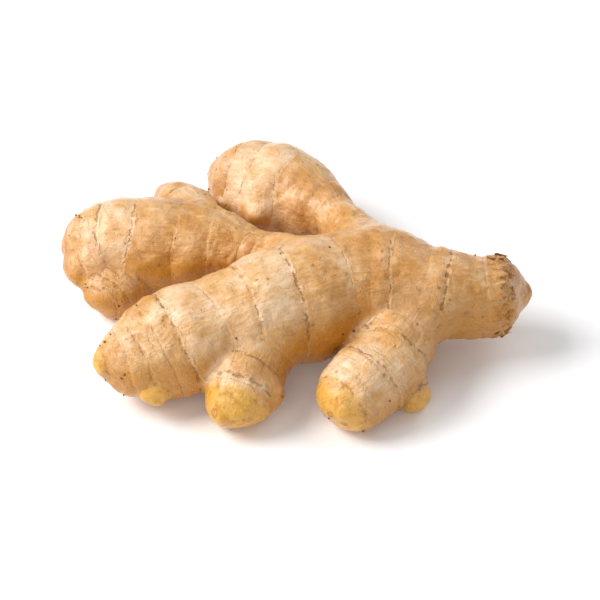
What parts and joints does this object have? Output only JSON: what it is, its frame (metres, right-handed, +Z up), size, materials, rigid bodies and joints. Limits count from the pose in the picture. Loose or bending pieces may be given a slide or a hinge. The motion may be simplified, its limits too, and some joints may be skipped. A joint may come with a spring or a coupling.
{
  "type": "ginger root",
  "caption": "Fresh ginger rhizome with stubby fingers, ring scars and pale tips, lying on its side as picked.",
  "frame": {"origin": "middle of the footprint, on the table that the root lies on", "axes": "+Z up, +X along the trunk from its growing end to its old broken end, +Y towards the two back fingers"},
  "size_m": [0.143, 0.1187, 0.0387],
  "materials": {
    "ginger_skin": "satin"
  },
  "bodies": {
    "root": {"ginger_root": "ginger_skin"}
  },
  "joints": []
}
